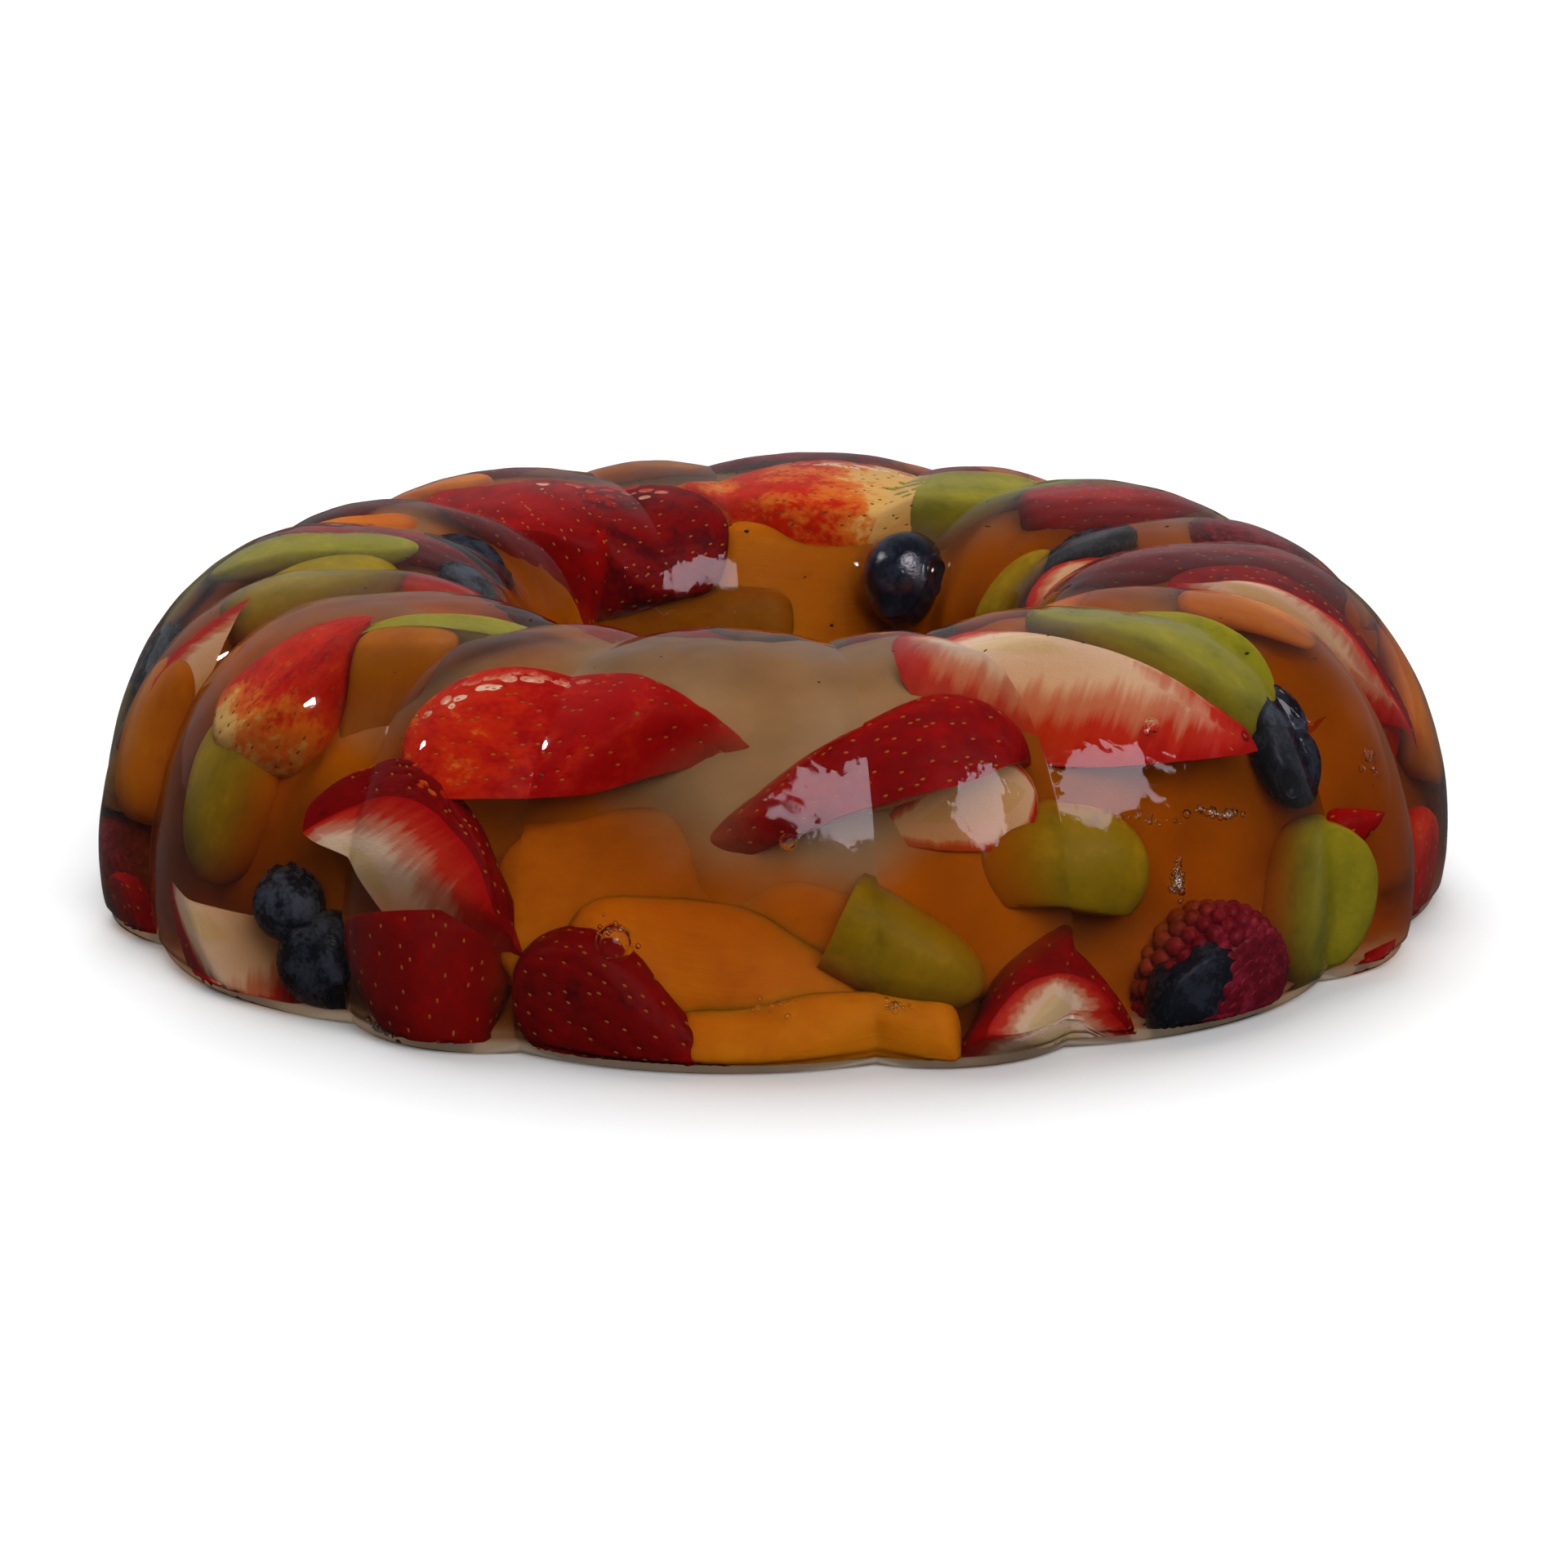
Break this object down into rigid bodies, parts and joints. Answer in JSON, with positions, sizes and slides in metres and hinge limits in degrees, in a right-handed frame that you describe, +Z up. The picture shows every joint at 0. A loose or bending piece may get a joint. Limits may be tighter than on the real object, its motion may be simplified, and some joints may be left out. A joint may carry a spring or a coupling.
{
  "type": "moulded fruit jelly ring",
  "caption": "Ring-shaped moulded jelly with wide and narrow lobes, full of cut fruit and berries, with an open hole through its middle.",
  "frame": {"origin": "middle of the flat base, on the axis of the ring", "axes": "+Z up out of the base along the ring's axis, -Y is the front that the picture looks at, +X to its right"},
  "size_m": [0.2194, 0.2194, 0.056],
  "materials": {
    "jelly": "clear amber set jelly with a wet gloss, see-through to the fruit inside",
    "berry_skin": "blue-black berry skin, wet, with a dull bloom in patches",
    "strawberry": "wet red strawberry skin with small yellow seeds, and pale streaked flesh where it is cut",
    "grape": "green grape skin and cut flesh, cloudy and moist",
    "mango": "moist yellow-orange fruit flesh with fine fibres",
    "bubble": "air bubble in the jelly"
  },
  "bodies": {
    "root": {"jelly_ring": "jelly", "hole_berry": "berry_skin"}
  },
  "joints": []
}
